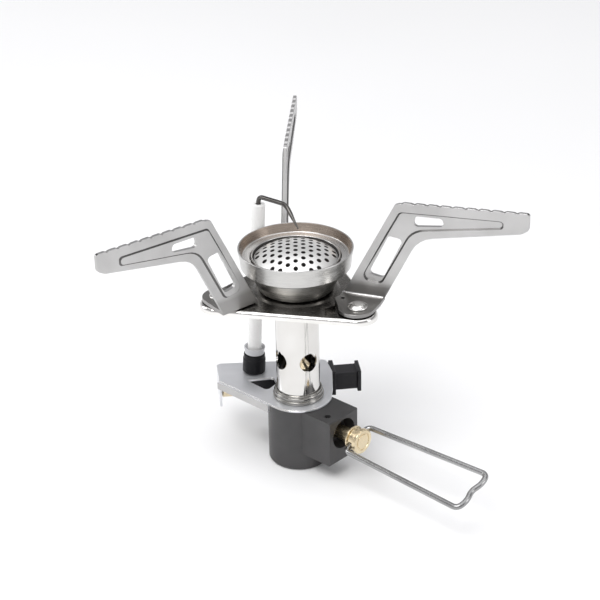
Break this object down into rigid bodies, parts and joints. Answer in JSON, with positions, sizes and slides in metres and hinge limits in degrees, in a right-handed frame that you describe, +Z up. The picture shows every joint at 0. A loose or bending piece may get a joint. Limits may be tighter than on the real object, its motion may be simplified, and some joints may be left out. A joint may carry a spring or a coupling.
{
  "type": "folding canister stove",
  "caption": "Small folding gas stove: valve body with wire handle, burner on a short tube, three folding pot arms and a push-button piezo igniter.",
  "frame": {"origin": "centre of the valve body's bottom face, on the axis of the canister thread and the burner", "axes": "+Z up along the burner axis, +X out along the valve spindle towards the wire handle"},
  "size_m": [0.1363, 0.1416, 0.1063],
  "materials": {
    "anodised_body": "satin dark grey anodised",
    "brass": "matte turned brass",
    "polished_steel": "polished stainless steel",
    "satin_steel": "satin stamped stainless steel",
    "heat_tinted_steel": "brushed stainless steel with a brown heat tint",
    "spring_steel": "drawn steel wire and turned steel",
    "black_plastic": "fine matte grain",
    "black_rubber": "matte",
    "grey_silicone": "cloudy silicone",
    "ceramic": "smooth off-white ceramic"
  },
  "bodies": {
    "base": {"valve_body": "anodised_body", "canister_oring": "black_rubber", "valve_depressor_pin": "brass", "gas_filter": "spring_steel", "jet_nozzle": "brass", "spindle_retaining_pin": "spring_steel", "igniter_bracket": "polished_steel", "tube_collar": "polished_steel", "burner_tube": "polished_steel", "support_plate": "polished_steel", "arm_rivet_right": "polished_steel", "arm_rivet_rear": "polished_steel", "arm_rivet_left": "polished_steel", "arm_washer_right": "spring_steel", "arm_washer_rear": "spring_steel", "arm_washer_left": "spring_steel", "burner_bowl": "polished_steel", "wind_cup": "heat_tinted_steel", "flame_ring": "polished_steel", "flame_cap": "polished_steel", "electrode_ceramic": "ceramic", "electrode_boot": "black_rubber", "electrode_sleeve": "grey_silicone", "electrode_wire": "spring_steel", "igniter_housing": "black_plastic", "igniter_end_cap": "brass", "piezo_crystal": "ceramic", "hammer_spring": "spring_steel", "button_spring": "spring_steel", "lead_terminal": "brass"},
    "spindle_carrier": {"spindle_oring": "black_rubber"},
    "spindle": {"valve_spindle": "brass"},
    "handle": {"wire_handle": "spring_steel"},
    "arm_right": {"pot_arm_right": "satin_steel"},
    "arm_rear": {"pot_arm_rear": "satin_steel"},
    "arm_left": {"pot_arm_left": "satin_steel"},
    "button": {"igniter_button": "black_plastic"},
    "hammer": {"igniter_hammer": "spring_steel"}
  },
  "joints": [
    {"name": "spindle_feed", "type": "slide", "parent": "base", "child": "spindle_carrier", "axis": [1, 0, 0], "range_m": [0, 0.000751]},
    {"name": "spindle_turn", "type": "hinge", "parent": "spindle_carrier", "child": "spindle", "pos_m": [0.02, 0, 0.0174], "axis": [1, 0, 0], "range_deg": [0, 360]},
    {"name": "handle_fold", "type": "hinge", "parent": "spindle", "child": "handle", "pos_m": [0.0273, 0, 0.0174], "axis": [0, 0.9455, 0.3256], "range_deg": [-55, 90]},
    {"name": "arm_fold_right", "type": "hinge", "parent": "base", "child": "arm_right", "pos_m": [0.0275, 0.00048, 0.068], "axis": [0, 0, 1], "range_deg": [-172.5, 0]},
    {"name": "arm_fold_rear", "type": "hinge", "parent": "base", "child": "arm_rear", "pos_m": [-0.01416, 0.02357, 0.068], "axis": [0, 0, 1], "range_deg": [-157.4, 0]},
    {"name": "arm_fold_left", "type": "hinge", "parent": "base", "child": "arm_left", "pos_m": [-0.01333, -0.02405, 0.068], "axis": [0, 0, 1], "range_deg": [-172.5, 0]},
    {"name": "igniter_press", "type": "slide", "parent": "base", "child": "button", "axis": [-0.6428, -0.766, 0], "range_m": [0, 0.005], "stiffness_N_per_m": 900, "springref_m": -0.002, "deforming": ["button_spring", "hammer_spring"]},
    {"name": "hammer_slide", "type": "slide", "parent": "base", "child": "hammer", "axis": [-0.6428, -0.766, 0], "range_m": [0, 0.0016]}
  ],
  "couplings": [
    {"joint": "spindle_feed", "follows": "spindle_turn", "m_per_rad": 0.00011937},
    {"joint": "arm_fold_rear", "follows": "arm_fold_right", "ratio": 0.91188},
    {"joint": "arm_fold_left", "follows": "arm_fold_right", "ratio": 1},
    {"joint": "hammer_slide", "follows": "igniter_press", "ratio": 0.3}
  ]
}
